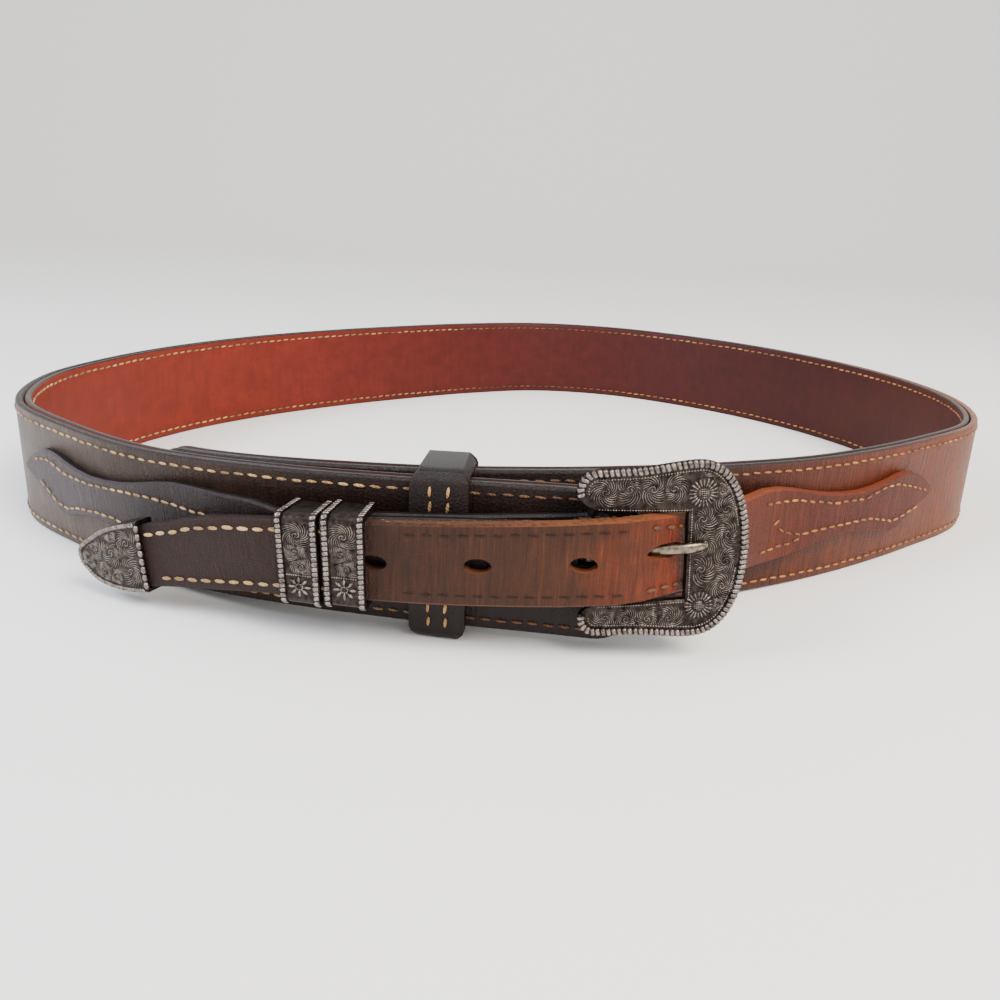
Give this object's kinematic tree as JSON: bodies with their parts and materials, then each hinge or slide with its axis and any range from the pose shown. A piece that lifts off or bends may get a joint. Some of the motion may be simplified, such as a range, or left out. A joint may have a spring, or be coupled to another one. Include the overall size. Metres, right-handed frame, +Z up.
{
  "type": "western leather belt",
  "caption": "Ranger-style leather belt, fastened and standing on edge: base strap, two sewn billets, engraved buckle, keepers and tip.",
  "frame": {"origin": "middle of the box round the belt, at the height of its lower edge", "axes": "+Z up from the edge that the belt stands on, -Y to the front where the buckle is, +X to the right seen from the front"},
  "size_m": [0.3454, 0.3306, 0.0512],
  "materials": {
    "brown_leather": "waxed brown leather with dark burnished edges",
    "red_lining": "smooth red-brown lining leather",
    "dark_leather": "dark brown waxed leather",
    "worn_leather": "worn brown leather with raw edges",
    "antique_silver": "antiqued silver-coloured casting with dark recesses"
  },
  "bodies": {
    "root": {"base_face": "brown_leather", "base_lining": "red_lining", "buckle_billet": "dark_leather", "tail_billet": "worn_leather", "buckle_frame": "antique_silver", "buckle_tongue": "antique_silver", "leather_loop": "dark_leather", "keeper_inner": "antique_silver", "keeper_outer": "antique_silver", "strap_tip": "antique_silver"}
  },
  "joints": []
}
